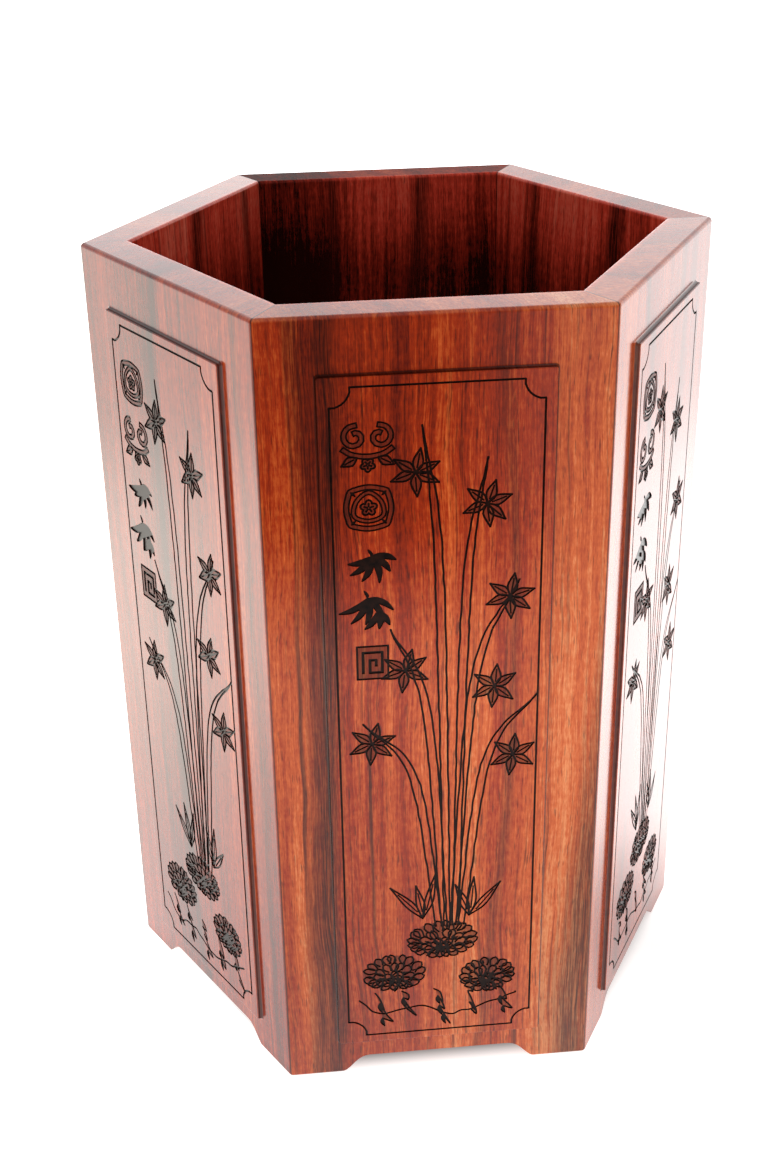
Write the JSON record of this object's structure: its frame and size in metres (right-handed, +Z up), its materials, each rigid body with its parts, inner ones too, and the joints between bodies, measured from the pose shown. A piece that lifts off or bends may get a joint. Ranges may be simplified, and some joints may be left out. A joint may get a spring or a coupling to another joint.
{
  "type": "pen holder cup",
  "caption": "Six-sided wooden pen cup: mitred upright boards with raised panels, cut-out feet and a base board held in grooves.",
  "frame": {"origin": "centre of the footprint, on the plane that the six feet stand on", "axes": "+Z up along the middle of the pot, -Y out of the front board, +X to the front board's right end"},
  "size_m": [0.1136, 0.1006, 0.15],
  "materials": {
    "side_board_wood": "waxed rosewood, upright grain",
    "spline_wood": "bare rosewood",
    "base_board_wood": "oiled rosewood"
  },
  "bodies": {
    "root": {"side_board_front": "side_board_wood", "side_board_front_right": "side_board_wood", "side_board_back_right": "side_board_wood", "side_board_back": "side_board_wood", "side_board_back_left": "side_board_wood", "side_board_front_left": "side_board_wood", "mitre_spline_front_left": "spline_wood", "mitre_spline_front_right": "spline_wood", "mitre_spline_right": "spline_wood", "mitre_spline_back_right": "spline_wood", "mitre_spline_back_left": "spline_wood", "mitre_spline_left": "spline_wood", "base_board": "base_board_wood"}
  },
  "joints": []
}
